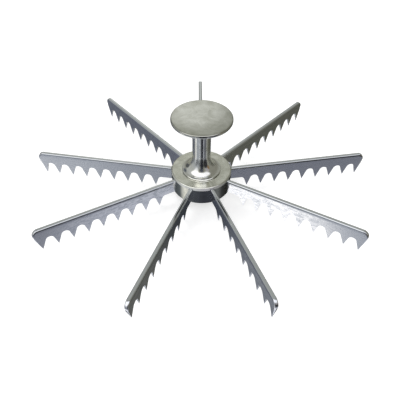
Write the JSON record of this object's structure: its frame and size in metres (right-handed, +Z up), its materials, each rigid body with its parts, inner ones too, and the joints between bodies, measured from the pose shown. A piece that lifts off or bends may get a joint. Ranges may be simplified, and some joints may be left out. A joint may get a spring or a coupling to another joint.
{
  "type": "pie marker",
  "caption": "Round pie marker: toothed wedge blades radiate from a flanged hub under a turned knob handle, to press even portion lines into a pie or cake.",
  "frame": {"origin": "centre of the hub's flat underside, on the hub's axis, above the level of the tooth tips", "axes": "+Z up through the handle, +Y along the blade that points straight away from the camera, +X to the camera's right"},
  "size_m": [0.2419, 0.2395, 0.0644],
  "materials": {
    "turned_aluminium": "satin, turned",
    "cast_aluminium": "polished by hand, mottled",
    "polished_aluminium": "turned and polished",
    "plated_steel": "bright plated"
  },
  "bodies": {
    "root": {"hub": "turned_aluminium", "blade_1": "cast_aluminium", "blade_2": "cast_aluminium", "blade_3": "cast_aluminium", "blade_4": "cast_aluminium", "blade_5": "cast_aluminium", "blade_6": "cast_aluminium", "blade_7": "cast_aluminium", "blade_8": "cast_aluminium", "blade_9": "cast_aluminium", "handle": "polished_aluminium", "handle_stud": "plated_steel"}
  },
  "joints": []
}
